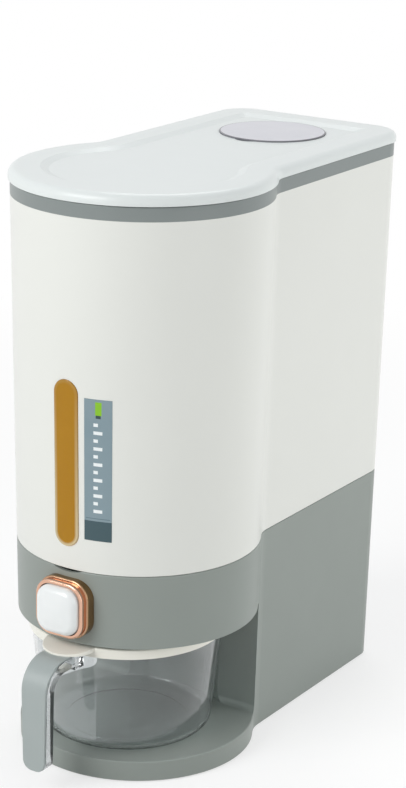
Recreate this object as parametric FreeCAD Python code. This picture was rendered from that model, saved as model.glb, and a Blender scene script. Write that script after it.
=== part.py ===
import FreeCAD, Part
import math
import os

V = FreeCAD.Vector

# ---- outer envelope, mm (Y is measured from the axis of the round front, +Y to the rear) ----
body_width = 185.0
front_r = body_width / 2
neck_step = 15.8
rear_half = front_r - neck_step
rear_reach = 240.0
neck_r = 22.0
rear_corner_r = 24.0
rear_corner_least = 3.0
draft = 0.0149
wall = 2.6

# ---- heights, from the floor up ----
foot_stand = 1.0
tray_height = 15.0
bay_height = 87.0
head_height = 54.5
shell_height = 251.5
band_height = 10.0
tray_top = foot_stand + tray_height
head_bottom = tray_top + bay_height
split_z = head_bottom + head_height
band_bottom = split_z + shell_height
band_top = band_bottom + band_height


def inset_at(z):
    return draft * (band_top - z)


def front_at(z):
    return front_r - inset_at(z)


# ---- lap joint between the shells, and the shelf inside the top band ----
seam_gap = 0.4
lap = 6.0
lap_clear = 0.15
lap_t = 1.8
lap_web = 3.0
band_wall = 5.0
band_skirt = 8.0
edge_r = 1.2
opening_r = 1.0

# ---- base ----
cover_t = 2.0
cover_clear = 0.3
foot_r = 7.0
foot_seat = 1.0
foot_rim = 15.6
foot_side_in = 24.7
foot_rear_in = 50.0
screw_r = 1.5
screw_clear = 0.2
screw_head_r = 3.0
screw_head_h = 1.1
screw_grip = 9.0
screw_sink = 0.1
cross_reach = 1.8
cross_half = 0.4
boss_r = 5.0
boss_bury = 1.2
boss_high = 39.0
boss_rear_in = 35.0
boss_mid_in = 43.4
boss_front_in = 18.3
rib_t = 2.0
rib_depth = 4.0
rib_first = 61.4
rib_pitch = 40.0
rib_count = 3
vent_half = 28.0
vent_t = 3.0
vent_pitch = 12.0
vent_count = 4
vent_first = 71.4

# ---- bay and cup ----
bay_wall_y = 48.6
bay_corner_r = 5.0
bay_wall = 2.8
cup_top_r = 70.4
cup_taper = 8.4
cup_wall = 2.2
cup_corner_r = 8.0
cup_floor = 2.6
cup_ring_w = 18.0
cup_ring_h = 0.8
cup_clear = 0.4
cup_head_gap = 3.0
cup_set_back = 1.6
cup_side_gap = 1.8
collar_out = 2.0
collar_cap = 0.6
collar_height = 7.0
collar_edge_r = 1.2
cup_base_z = tray_top + cup_clear
cup_base_r = cup_top_r - cup_taper
cup_top_z = head_bottom - cup_head_gap
collar_top = cup_top_z + collar_cap
collar_bottom = cup_top_z - collar_height
collar_front = front_at(head_bottom) - cup_set_back
cup_y = cup_top_r + collar_out - collar_front
cup_recess_r = cup_top_r + collar_out + cup_side_gap

# ---- pouring lip and hook handle ----
lip_half = 20.0
lip_reach = 17.5
lip_root = 6.0
lip_end_t = 1.2
lip_edge_r = 0.5
handle_reach = 41.8
handle_half = 11.4
handle_end_half = 9.8
handle_end_flat = 1.8
handle_drop = 2.4
handle_length = 79.8
handle_bend = 22.0
handle_cover_t = 1.6
handle_inlay = 0.6
handle_core_t = 8.0
handle_edge_r = 0.7
root_half = 9.7
root_high = 12.0
root_reach = 5.8
root_clear = 0.02
handle_y = -collar_front - handle_reach
handle_top = cup_top_z - handle_drop
handle_bottom = handle_top - handle_length

# ---- button and its ring ----
button_up = 27.0
cap_w = 34.0
cap_h = 35.0
cap_corner = 10.0
cap_edge_r = 6.0
cap_depth = 22.0
cap_wall = 2.0
cap_face_t = 3.0
cap_proud = 5.0
tunnel_clear = 0.4
tunnel_wall = 1.4
tunnel_in = 5.6
bead_wall = 2.4
bead_out = 5.2
bead_t = 3.6
bead_r = 1.1
bead_groove = 0.9
ring_step = 1.3
ring_proud = 5.2
ring_edge_r = 1.2
release_half = 13.0
release_high = 2.2
button_z = head_bottom + button_up
skin_y = -front_at(button_z)
ring_y = skin_y - ring_proud
bead_y = ring_y - bead_out
cap_face_y = bead_y - cap_proud
cap_back_y = cap_face_y + cap_depth
tunnel_back_y = skin_y + wall + tunnel_in
bead_w = cap_w + 2 * (tunnel_clear + bead_wall)
bead_h = cap_h + 2 * (tunnel_clear + bead_wall)
bead_corner = cap_corner + bead_wall

# ---- gate, chute and lever ----
gate_r = 20.0
gate_t = 2.0
gate_half_angle = 36.0
gate_swing = 40.0
gate_lip = 1.0
gate_lip_angle = 9.0
gate_gap = 0.5
chute_half_x = 20.0
chute_half_y = 11.0
chute_wall = 2.0
side_clear = 0.5
side_t = 2.5
axle_r = 3.0
axle_clear = 0.06
hub_wall = 3.0
lever_h = 10.0
lever_half = 4.2
lever_end = 4.0
lever_gap = 0.6
drive_r = 1.8
slot_clear = 0.35
slot_low = 0.25
gate_y = cup_y
gate_z = head_bottom + gate_r + gate_t
tilt = gate_swing / 2
stroke = 2 * lever_h * math.tan(math.radians(tilt))
drive_y = gate_y - stroke / 2
drive_z = gate_z + lever_h
chute_x = chute_half_x + chute_wall
chute_y = chute_half_y + chute_wall
side_x = chute_x + side_clear + side_t

# ---- plunger and spring ----
plunger_half = 7.0
plunger_high = 13.8
plunger_wall = 2.0
plunger_end = 4.0
plunger_grip = 14.0
socket_clear = 0.05
post_wall = 1.6
arm_clear = 0.5
arm_t = 2.5
arm_half = 3.2
arm_tip = 3.4
yoke_t = 4.0
spring_length = 23.2
spring_r = 4.4
spring_wire_r = 0.5
spring_pitch = 3.2
spring_sides = 6
spring_end = 0.1
peg_r = 3.0
peg_high = 3.0
yoke_y = gate_y - chute_y - spring_length
arm_x = side_x + arm_clear

# ---- valve housing ----
post_clear = 1.0
post_t = 2.5
post_half = 12.0
flange_t = 1.8
chute_seal_t = 1.0
valve_base_t = 2.5
base_rim = 14.5
base_ends = 5.0
throat_clear = 3.5
throat_round = 2.0
valve_screw_in = 8.5
valve_screw_y = 18.0
valve_screw_head_h = 1.6
valve_screw_grip = 4.4
bridge_gap = 2.2
bridge_t = 7.0
bridge_wall = 5.6
bridge_clear = 0.4
throat_x = side_x + throat_clear
throat_y = gate_r + gate_t + gate_lip + throat_round
valve_z = head_bottom + bay_wall
hopper_z = (gate_z + math.hypot(lever_h + lever_end, lever_half) + lever_gap
            + flange_t + chute_seal_t)
bridge_y = cap_back_y + stroke + bridge_gap
post_x = arm_x + arm_t + post_clear

# ---- hopper floor ----
floor_t = 2.0
floor_gap = 0.5
outlet_high = 6.0
rear_slope = 27.0
side_slope = 35.0
front_slope = 22.5

# ---- window and label ----
window_half = 10.0
window_up = 16.9
window_length = 121.2
window_proud = 0.9
window_flange = 3.0
window_flange_t = 1.8
window_clear = 0.15
window_bed = 0.05
window_core = 0.6
window_edge_r = 0.6
label_left = 15.0
label_width = 20.7
label_up = 24.7
label_length = 102.4
label_proud = 0.15
label_sink = 0.35
label_clear = 0.1
label_bed = 0.02
window_low = split_z + window_up
window_high = window_low + window_length
label_low = split_z + label_up
label_high = label_low + label_length

# ---- lid, its plug and seal ----
lid_gap = 0.6
lid_over = 1.3
lid_height = 8.4
lid_round = 5.5
lid_t = 2.4
lid_rim_t = 4.3
panel_sink = 2.0
panel_inset = 21.0
panel_slope = 6.0
plug_gap = 3.2
plug_t = 2.0
plug_depth = 11.0
seal_gap = 0.35
seal_drop = 5.5
seal_high = 3.0
lid_low = band_top + lid_gap
lid_rim_z = band_top + lid_height
lid_panel_z = lid_rim_z - panel_sink
plug_inset = band_wall + plug_gap

# ---- desiccant well and its cap ----
well_back = 69.0
well_r = 33.0
well_depth = 34.0
well_wall = 1.6
well_step = 2.0
well_rim = 3.0
seat_t = 7.0
seat_rim = 4.0
slot_half = 1.5
basket_slots = 12
floor_slots = 5
floor_slot_pitch = 9.0
pack_gap = 4.0
pack_drop = 12.0
pack_edge_r = 3.0
cap_r = 40.0
cap_t = 1.4
cap_crown = 1.0
cap_gap = 0.4
cap_sink = 0.3
lid_cap_edge_r = 0.6
skirt_gap = 1.4
skirt_t = 1.8
skirt_high = 9.0
cap_seal_r = 0.8
cap_seal_drop = 4.8
groove_half = 1.2
notch_r = 12.0
notch_in = 9.0
notch_depth = 4.5
well_y = rear_reach - well_back
basket_top = lid_panel_z - seat_t
cap_z = lid_panel_z - cap_sink
cap_seal_major = well_r - seal_gap - cap_seal_r

# Cutting tools run this far past the walls that they cut.
over = 1.0
far = front_r + handle_reach

# The bounding box, from the handle to the rear of the lid, is centred on the origin.
axis_y = -(rear_reach + lid_over + handle_y) / 2


def keyhole_wire(inset, z):
    """Round front, concave necks, straight flanks and a rounded rear."""
    r = front_r - inset
    w = rear_half - inset
    rn = neck_r + inset
    rc = max(rear_corner_r - inset, rear_corner_least)
    back = rear_reach - inset
    cx = w + rn
    cy = math.sqrt((r + rn) ** 2 - cx ** 2)
    tx = cx * r / (r + rn)
    ty = cy * r / (r + rn)
    dx, dy = (tx - cx) / rn - 1, (ty - cy) / rn
    k = rn / math.hypot(dx, dy)
    s = rc * (1 - math.sqrt(0.5))

    def arc(a, b, c):
        return Part.Arc(V(a[0], a[1], z), V(b[0], b[1], z), V(c[0], c[1], z)).toShape()

    def line(a, c):
        return Part.makeLine(V(a[0], a[1], z), V(c[0], c[1], z))

    mid = (cx + dx * k, cy + dy * k)
    edges = [
        arc((tx, ty), mid, (w, cy)),
        line((w, cy), (w, back - rc)),
        arc((w, back - rc), (w - s, back - s), (w - rc, back)),
        line((w - rc, back), (rc - w, back)),
        arc((rc - w, back), (s - w, back - s), (-w, back - rc)),
        line((-w, back - rc), (-w, cy)),
        arc((-w, cy), (-mid[0], mid[1]), (-tx, ty)),
        arc((-tx, ty), (0, -r), (tx, ty)),
    ]
    return Part.Wire(edges)


def tapered(z0, z1, inward=0.0):
    """Drafted keyhole block, its side moved in by a wall thickness."""
    low = keyhole_wire(inset_at(z0) + inward, z0)
    high = keyhole_wire(inset_at(z1) + inward, z1)
    return Part.makeLoft([low, high], True, True)


def prism(inset, z0, z1):
    face = Part.Face(keyhole_wire(inset, z0))
    return face.extrude(V(0, 0, z1 - z0))


def front_cone(extra, z0, z1):
    return Part.makeCone(front_at(z0) + extra, front_at(z1) + extra, z1 - z0, V(0, 0, z0))


def box(x0, x1, y0, y1, z0, z1):
    return Part.makeBox(x1 - x0, y1 - y0, z1 - z0, V(x0, y0, z0))


def cyl_z(r, x, y, z0, z1):
    return Part.makeCylinder(r, z1 - z0, V(x, y, z0))


def cyl_x(r, x0, x1, y, z):
    return Part.makeCylinder(r, x1 - x0, V(x0, y, z), V(1, 0, 0))


def rounded_xz(w, h, r, y0, y1, zc):
    """Rounded rectangle standing in XZ, run along Y."""
    a, b = w / 2, h / 2
    q = r * (1 - math.sqrt(0.5))

    def p(x, z):
        return V(x, y0, zc + z)

    edges = []
    corners = [(1, 1), (-1, 1), (-1, -1), (1, -1)]
    for i, (sx, sz) in enumerate(corners):
        first = p(sx * a, sz * (b - r)) if i % 2 == 0 else p(sx * (a - r), sz * b)
        last = p(sx * (a - r), sz * b) if i % 2 == 0 else p(sx * a, sz * (b - r))
        edges.append(Part.Arc(first, p(sx * (a - q), sz * (b - q)), last).toShape())
    outline = []
    for i, edge in enumerate(edges):
        start = edge.Vertexes[-1].Point
        end = edges[(i + 1) % 4].Vertexes[0].Point
        outline.append(edge)
        if start.distanceToPoint(end) > 1e-6:
            outline.append(Part.makeLine(start, end))
    return Part.Face(Part.Wire(outline)).extrude(V(0, y1 - y0, 0))


def edges_where(shape, test):
    return [e for e in shape.Edges if test(e.BoundBox)]


def joined(shapes):
    out = shapes[0]
    for s in shapes[1:]:
        out = out.fuse(s)
    return out.removeSplitter()


def without(shape, cutters):
    for c in cutters:
        shape = shape.cut(c)
    return shape


def sides(x0, x1):
    """Both mirror spans of a span on the right."""
    return [(x0, x1), (-x1, -x0)]


def boss_spots():
    x = rear_half - inset_at(foot_stand) - wall - boss_r + boss_bury
    rear, mid = rear_reach - boss_rear_in, bay_wall_y + boss_mid_in
    front = -(front_at(foot_stand) - boss_front_in)
    return [(-x, rear), (x, rear), (-x, mid), (x, mid), (0.0, front)]


def foot_spots():
    q = (front_at(foot_stand) - foot_rim) * math.sqrt(0.5)
    x, y = rear_half - foot_side_in, rear_reach - foot_rear_in
    return [(-q, -q), (q, -q), (-x, y), (x, y)]


def valve_spots():
    x = throat_x + valve_screw_in
    return [(sx * x, gate_y + sy * valve_screw_y) for sx in (-1, 1) for sy in (-1, 1)]


def lower_housing():
    outer = tapered(foot_stand, split_z)
    outer = outer.makeFillet(edge_r, edges_where(outer, lambda b: b.ZMin > split_z - 0.01))
    bay = box(-far, far, -far, bay_wall_y, tray_top, head_bottom)
    bay = bay.makeFillet(bay_corner_r, edges_where(
        bay, lambda b: b.YMin > bay_wall_y - 0.01 and b.ZMax < tray_top + 0.01))
    nest = cyl_z(cup_recess_r, 0, cup_y, tray_top, head_bottom)
    head_room = tapered(valve_z, split_z + over, wall)
    under = tray_top - bay_wall
    column = tapered(foot_stand - over, valve_z + over, wall)
    column = without(column, [
        box(-far, far, -far, bay_wall_y + bay_wall, under, split_z),
        cyl_z(cup_recess_r + bay_wall, 0, cup_y, under, split_z)])
    release_r = (release_half ** 2 + release_high ** 2) / (2 * release_high)
    release = Part.makeCylinder(release_r, far - front_r / 2,
                                V(0, -far, split_z - release_high + release_r), V(0, 1, 0))
    tunnel = rounded_xz(cap_w + 2 * (tunnel_clear + tunnel_wall + lap_clear),
                        cap_h + 2 * (tunnel_clear + tunnel_wall + lap_clear),
                        cap_corner + tunnel_wall, -far, skin_y / 2, button_z)
    throat = box(-throat_x, throat_x, gate_y - throat_y, gate_y + throat_y,
                 head_bottom - over, valve_z + over)
    shell = without(outer, [bay, nest, tray_edge(), head_room, column, release, tunnel, throat])
    shell = joined([shell] + housing_bosses() + housing_ribs())
    holes = [cyl_z(screw_r, x, y, foot_stand, foot_stand + cover_t + screw_grip)
             for x, y in boss_spots()]
    tip = valve_z + valve_base_t - valve_screw_grip - screw_clear
    holes += [cyl_z(screw_r, x, y, tip, valve_z + over) for x, y in valve_spots()]
    return without(shell, holes)


def tray_edge():
    """What a rounding takes off the tray's top edge, in front of the bay's wall."""
    block = tapered(foot_stand, tray_top)
    round_block = block.makeFillet(opening_r, edges_where(
        block, lambda b: b.ZMin > tray_top - 0.01))
    front = box(-far, far, -far, bay_wall_y - bay_corner_r, foot_stand, tray_top)
    return block.cut(round_block).common(front)


def housing_bosses():
    bosses = []
    for x, y in boss_spots():
        top = foot_stand + boss_high if y > 0 else tray_top - over
        boss = cyl_z(boss_r, x, y, foot_stand + cover_t + screw_clear, top)
        bosses.append(boss.common(tapered(foot_stand, top + over, wall / 2)))
    return bosses


def housing_ribs():
    low, high = foot_stand + cover_t + boss_r, split_z - lap - over
    inner = rear_half - wall - rib_depth - inset_at(low)
    ribs = []
    for i in range(rib_count):
        y = bay_wall_y + rib_first + i * rib_pitch
        for x0, x1 in sides(inner, rear_half):
            rib = box(x0, x1, y - rib_t / 2, y + rib_t / 2, low, high)
            ribs.append(rib.common(tapered(low, high, wall / 2)))
    return ribs


def bottom_cover():
    low = foot_stand
    plate = tapered(low, low + cover_t, wall + cover_clear)
    cuts = []
    for i in range(vent_count):
        y = bay_wall_y + vent_first + i * vent_pitch
        cuts.append(box(-vent_half, vent_half, y - vent_t / 2, y + vent_t / 2,
                        low - over, low + cover_t + over))
    for x, y in boss_spots():
        cuts.append(cyl_z(screw_r + screw_clear, x, y, low - over, low + cover_t + over))
        cuts.append(cyl_z(screw_head_r + screw_clear, x, y, low - over, low + screw_head_h))
    cuts += [cyl_z(foot_r + lap_clear, x, y, low - over, low + foot_seat)
             for x, y in foot_spots()]
    return without(plate, cuts)


def rubber_feet():
    feet = []
    for x, y in foot_spots():
        foot = cyl_z(foot_r, x, y, 0, foot_stand + foot_seat)
        feet.append(foot.makeFillet(foot_seat / 2, edges_where(foot, lambda b: b.ZMax < 0.01)))
    return Part.makeCompound(feet)


def cross_head(x, y, seat, head_h, grip, way):
    """Screw with its head on one side of its seat: way is +1 up, -1 down."""
    span = sorted((seat, seat + way * head_h))
    head = cyl_z(screw_head_r, x, y, span[0], span[1])
    span = sorted((seat, seat - way * grip))
    rod = cyl_z(screw_r - socket_clear, x, y, span[0], span[1])
    face = seat + way * head_h
    arm, thin, deep = cross_reach, cross_half, head_h / 2
    cross = [box(x - arm, x + arm, y - thin, y + thin, face - deep, face + deep),
             box(x - thin, x + thin, y - arm, y + arm, face - deep, face + deep)]
    return without(joined([head, rod]), cross)


def bottom_screws():
    seat = foot_stand + screw_head_h
    return Part.makeCompound([
        cross_head(x, y, seat, screw_head_h - screw_sink, screw_grip, -1) for x, y in boss_spots()])


def window_block(half, low, high):
    y0, y1 = -far, -front_r / 2
    body = box(-half, half, y0, y1, low + half, high - half)
    ends = [Part.makeCylinder(half, y1 - y0, V(0, y0, z), V(0, 1, 0))
            for z in (low + half, high - half)]
    return joined([body] + ends)


def upper_shell():
    low = split_z + seam_gap
    top = low + lap_web
    outer = tapered(low, band_bottom)
    inner = tapered(low - over, band_bottom + over, wall)
    lip = tapered(split_z - lap, top, wall + lap_clear)
    lip = lip.cut(tapered(split_z - lap - over, top + over, wall + lap_clear + lap_t))
    lip = lip.cut(box(-release_half - over, release_half + over, -far, -front_r / 2,
                      split_z - lap - over, low))
    web = tapered(top - lap_t, top, wall - lap_clear)
    web = web.cut(tapered(low, top + over, wall + lap_clear + lap_t))
    shell = joined([outer.cut(inner), lip, web])
    pocket = label_block(label_clear, label_sink, 2 * label_proud)
    return without(shell, [window_block(window_half, window_low, window_high), pocket])


def level_window():
    z0, z1 = window_low - 2 * window_flange, window_high + 2 * window_flange
    inner = -wall - window_flange_t
    lens = window_block(window_half - window_clear, window_low + window_clear,
                        window_high - window_clear)
    lens = lens.common(front_cone(window_proud, z0, z1)).cut(front_cone(-wall, z0, z1))
    lens = lens.makeFillet(window_edge_r, [e for e in lens.Edges if all(
        math.hypot(v.X, v.Y) > front_at(v.Z) + window_proud / 2 for v in e.Vertexes)])
    flange = window_block(window_half + window_flange, window_low - window_flange,
                          window_high + window_flange)
    flange = flange.common(front_cone(-wall - window_bed, z0, z1)).cut(front_cone(inner, z0, z1))
    core = window_block(window_half - window_core, window_low + window_core,
                        window_high - window_core)
    core = core.common(front_cone(window_core - wall, z0, z1)).cut(front_cone(inner, z0, z1))
    return joined([lens, flange, core])


def label_block(clear, depth, proud):
    """Curved block between two upright planes, for the label or its pocket."""
    turn = 180.0 / math.pi / front_r
    z0, z1 = label_low - clear, label_high + clear
    block = front_cone(proud, z0, z1).cut(front_cone(-depth, z0 - over, z1 + over))
    quarter = box(0, 2 * far, -2 * far, 0, z0, z1)
    left, right = quarter.copy(), quarter.copy()
    left.rotate(V(0, 0, 0), V(0, 0, 1), (label_left - clear) * turn)
    right.rotate(V(0, 0, 0), V(0, 0, 1), (label_left + label_width + clear) * turn)
    return block.common(left).cut(right)


def front_label():
    return label_block(0.0, label_sink - label_bed, label_proud)


def top_collar():
    outer = tapered(band_bottom, band_top)
    outer = outer.makeFillet(edge_r / 2, edges_where(outer, lambda b: b.ZMin > band_top - 0.01))
    ring = outer.cut(tapered(band_bottom - over, band_top + over, band_wall))
    low = band_bottom - band_skirt
    skirt = tapered(low, band_bottom + lap_t, wall + lap_clear)
    skirt = skirt.cut(tapered(low - over, band_bottom + 2 * lap_t, band_wall))
    return joined([ring, skirt])


def hopper_top():
    return hopper_z + (rear_reach - gate_y) * math.tan(math.radians(rear_slope))


def hopper_void(grow):
    """Four sloping faces that widen upwards from the outlet."""
    rise = hopper_top() + over - hopper_z
    angles = [math.radians(a) for a in (rear_slope, front_slope, side_slope)]
    lift = [grow / math.sin(a) for a in angles]
    run = [rise / math.tan(a) for a in angles]
    x = chute_half_x + lift[2]
    rear, front = gate_y + chute_half_y + lift[0], gate_y - chute_half_y - lift[1]

    def rect(x, y0, y1, z):
        return Part.makePolygon([V(-x, y0, z), V(x, y0, z), V(x, y1, z), V(-x, y1, z), V(-x, y0, z)])

    return Part.makeLoft([rect(x, front, rear, hopper_z),
                          rect(x + run[2], front - run[1], rear + run[0], hopper_z + rise)],
                         True, True)


def hopper_floor():
    lip_top = split_z + seam_gap + lap_web + floor_gap
    room = joined([tapered(hopper_z, lip_top, wall + lap_clear + lap_t + floor_gap),
                   tapered(lip_top, hopper_top(), wall + floor_gap)])
    sheet = hopper_void(floor_t).common(room)
    outlet = box(-chute_x, chute_x, gate_y - chute_y, gate_y + chute_y,
                 hopper_z, hopper_z + outlet_high)
    return joined([sheet, outlet]).cut(hopper_void(0.0))


def chute_bore(z0, z1):
    return box(-chute_half_x, chute_half_x, gate_y - chute_half_y, gate_y + chute_half_y, z0, z1)


def chute_seal():
    """Flat rubber ring between the hopper's outlet and the chute."""
    ring = box(-chute_x, chute_x, gate_y - chute_y, gate_y + chute_y,
               hopper_z - chute_seal_t, hopper_z)
    return ring.cut(chute_bore(hopper_z - 2 * chute_seal_t, hopper_z + over))


def valve_housing():
    top = hopper_z - chute_seal_t
    rows = (gate_y - chute_y, gate_y + chute_y)
    low_part = box(-chute_x, chute_x, rows[0], rows[1], gate_z - gate_r, gate_z)
    low_part = low_part.common(cyl_x(gate_r - gate_gap, -chute_x, chute_x, gate_y, gate_z))
    high_part = box(-chute_x, chute_x, rows[0], rows[1], gate_z, top)
    flange = box(-post_x - post_t, post_x + post_t, rows[0], rows[1], top - flange_t, top)
    posts = [box(x0, x1, gate_y - post_half, gate_y + post_half, valve_z, top)
             for x0, x1 in sides(post_x, post_x + post_t)]
    base = box(-throat_x - base_rim, throat_x + base_rim, gate_y - throat_y - base_ends,
               gate_y + throat_y + base_ends, valve_z, valve_z + valve_base_t)
    base = base.cut(box(-throat_x, throat_x, gate_y - throat_y, gate_y + throat_y,
                        valve_z - over, valve_z + valve_base_t + over))
    axles = [cyl_x(axle_r, x0, x1, gate_y, gate_z)
             for x0, x1 in sides(chute_x - over, side_x + arm_clear / 2)]
    peg = Part.makeCylinder(peg_r, peg_high, V(0, rows[0], button_z), V(0, -1, 0))
    body = joined([low_part, high_part, flange, base, guide_bridge(), peg] + posts + axles)
    body = body.cut(chute_bore(gate_z - 2 * gate_r, top + over))
    return without(body, [
        cyl_z(screw_r + screw_clear, x, y, valve_z - over, valve_z + valve_base_t + over)
        for x, y in valve_spots()])


def guide_bridge():
    """Bridge that the plunger's stem runs through, on a strip from the base."""
    half = plunger_half + bridge_clear
    high = plunger_high / 2 + bridge_clear
    bridge = box(-half - bridge_wall, half + bridge_wall, bridge_y, bridge_y + bridge_t,
                 valve_z, button_z + high + bridge_wall)
    bridge = bridge.cut(box(-half, half, bridge_y - over, bridge_y + bridge_t + over,
                            button_z - high, button_z + high))
    strip = box(-half - bridge_wall, half + bridge_wall, bridge_y, gate_y - throat_y - over,
                valve_z, valve_z + valve_base_t)
    return joined([bridge, strip])


def valve_screws():
    seat = valve_z + valve_base_t
    return Part.makeCompound([
        cross_head(x, y, seat, valve_screw_head_h, valve_screw_grip, 1) for x, y in valve_spots()])


def button_bezel():
    skin = tapered(head_bottom - over, split_z)
    flange = rounded_xz(bead_w + 2 * ring_step, bead_h + 2 * ring_step, bead_corner + ring_step,
                        ring_y, skin_y / 2, button_z)
    flange = flange.makeFillet(ring_edge_r, edges_where(flange, lambda b: b.YMax < ring_y + 0.01))
    neck = rounded_xz(bead_w - 2 * bead_groove, bead_h - 2 * bead_groove,
                      bead_corner - bead_groove, bead_y + bead_t / 2, skin_y + wall, button_z)
    bead = rounded_xz(bead_w, bead_h, bead_corner, bead_y, bead_y + bead_t, button_z)
    bead = bead.makeFillet(bead_r, edges_where(bead, lambda b: b.YMax - b.YMin < 0.01))
    spigot = rounded_xz(cap_w + 2 * (tunnel_clear + tunnel_wall),
                        cap_h + 2 * (tunnel_clear + tunnel_wall),
                        cap_corner + tunnel_wall, ring_y + over, tunnel_back_y, button_z)
    body = joined([flange.cut(skin), neck.cut(skin), bead, spigot])
    return body.cut(rounded_xz(cap_w + 2 * tunnel_clear, cap_h + 2 * tunnel_clear,
                               cap_corner + tunnel_clear / 2, -far, 0, button_z))


def stem_block(grow, y0, y1):
    half, high = plunger_half + grow, plunger_high / 2 + grow
    return box(-half, half, y0, y1, button_z - high, button_z + high)


def button_cap():
    block = rounded_xz(cap_w, cap_h, cap_corner, cap_face_y, cap_back_y, button_z)
    block = block.makeFillet(cap_edge_r, edges_where(
        block, lambda b: b.YMax < cap_face_y + 0.01))
    hollow = rounded_xz(cap_w - 2 * cap_wall, cap_h - 2 * cap_wall, cap_corner - cap_wall,
                        cap_face_y + cap_face_t, cap_back_y + over, button_z)
    post = stem_block(post_wall, cap_face_y + cap_wall, cap_back_y)
    socket = stem_block(socket_clear, cap_back_y - plunger_grip, cap_back_y + over)
    return joined([block.cut(hollow), post]).cut(socket)


def button_plunger():
    start = cap_back_y - plunger_grip + socket_clear
    stem = stem_block(0.0, start, yoke_y)
    core = stem_block(-plunger_wall, start - over, yoke_y - plunger_end)
    bar = box(-arm_x - arm_t, arm_x + arm_t, yoke_y - yoke_t, yoke_y,
              drive_z - arm_half, drive_z + arm_half)
    arms = [box(x0, x1, yoke_y - yoke_t, drive_y + arm_tip, drive_z - arm_half, drive_z + arm_half)
            for x0, x1 in sides(arm_x, arm_x + arm_t)]
    pins = [cyl_x(drive_r, x0, x1, drive_y, drive_z)
            for x0, x1 in sides(side_x - side_t, arm_x + arm_t / 2)]
    return joined([stem.cut(core), bar] + arms + pins)


def return_spring():
    length = spring_length - 2 * (spring_end + spring_wire_r)
    helix = Part.makeHelix(spring_pitch, length, spring_r)
    step = 2 * math.pi / spring_sides
    reach = spring_wire_r * math.sqrt(step / math.sin(step))
    corners = [V(spring_r + reach * math.cos(i * step), 0, reach * math.sin(i * step))
               for i in range(spring_sides)]
    profile = Part.makePolygon(corners + corners[:1])
    coil = Part.Wire(helix.Edges).makePipeShell([profile], True, True)
    coil.rotate(V(0, 0, 0), V(1, 0, 0), -90)
    coil.translate(V(0, yoke_y + spring_end + spring_wire_r, button_z))
    return coil


def sector(r, a0, a1, x0, x1):
    """Pie slice about the gate's axis; angles run from straight down towards the rear."""
    steps = 6
    reach = (r + over) / math.cos(math.radians(a1 - a0) / (2 * steps))
    pts = [V(x0, gate_y, gate_z)]
    for i in range(steps + 1):
        a = math.radians(a0 + (a1 - a0) * i / steps)
        pts.append(V(x0, gate_y + reach * math.sin(a), gate_z - reach * math.cos(a)))
    pts.append(pts[0])
    wedge = Part.Face(Part.makePolygon(pts)).extrude(V(x1 - x0, 0, 0))
    return wedge.common(cyl_x(r, x0, x1, gate_y, gate_z))


def outlet_gate():
    in_x = side_x - side_t
    blade = sector(gate_r + gate_t, -gate_half_angle, gate_half_angle, -side_x, side_x)
    parts = [blade.cut(cyl_x(gate_r, -in_x, in_x, gate_y, gate_z))]
    cuts = []
    for x0, x1 in sides(in_x, side_x):
        parts.append(cyl_x(axle_r + hub_wall, x0, x1, gate_y, gate_z))
        lever = box(x0, x1, gate_y - lever_half, gate_y + lever_half, gate_z,
                    gate_z + lever_h + lever_end)
        half = drive_r + slot_clear
        slot = box(x0 - over, x1 + over, gate_y - half, gate_y + half,
                   gate_z + lever_h - half - slot_low, gate_z + lever_h + lever_end + over)
        for piece in (lever, slot):
            piece.rotate(V(0, gate_y, gate_z), V(1, 0, 0), tilt)
        parts.append(lever)
        cuts += [slot, cyl_x(axle_r + axle_clear, x0 - over / 2, x1 + over / 2, gate_y, gate_z)]
    return without(joined(parts), cuts)


def gate_seal():
    """Soft lips on the outside of the blade's two ends."""
    in_x = side_x - side_t
    out = gate_r + gate_t
    strips = []
    for a0, a1 in sides(gate_half_angle - gate_lip_angle, gate_half_angle):
        strip = sector(out + gate_lip, a0, a1, -in_x, in_x)
        strips.append(strip.cut(cyl_x(out, -in_x, in_x, gate_y, gate_z)))
    return Part.makeCompound(strips)


def lid_shell():
    roof = lid_panel_z - lid_t
    body = prism(-lid_over, lid_low, lid_rim_z)
    body = body.makeFillet(lid_round, edges_where(body, lambda b: b.ZMin > lid_rim_z - 0.01))
    spread = panel_slope * (panel_sink + over) / panel_sink
    dish = Part.makeLoft([keyhole_wire(panel_inset + panel_slope, lid_panel_z),
                          keyhole_wire(panel_inset + panel_slope - spread, lid_rim_z + over)],
                         True, True)
    under = prism(lid_rim_t - lid_over, lid_low - over, roof)
    plug = prism(plug_inset, band_top - plug_depth, roof)
    plug = plug.cut(prism(plug_inset + plug_t, band_top - plug_depth - over, roof + over))
    seat = cyl_z(cap_r + seat_rim, 0, well_y, basket_top, lid_panel_z)
    seat = seat.common(prism(lid_rim_t - lid_over, basket_top - over, lid_rim_z))
    body = joined([without(body, [dish, under]), plug, seat])
    high = lid_rim_z + over
    pocket = cyl_z(cap_r + cap_gap, 0, well_y, cap_z - cap_gap, high)
    bore = cyl_z(well_r, 0, well_y, basket_top - over, high)
    notch = cyl_z(notch_r, 0, well_y - cap_r + notch_in, lid_panel_z - notch_depth, high)
    return without(body, [pocket, bore, notch])


def lid_seal():
    z0 = band_top - seal_drop
    ring = prism(band_wall + seal_gap, z0, z0 + seal_high)
    return ring.cut(prism(plug_inset, z0 - over, z0 + seal_high + over))


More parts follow.
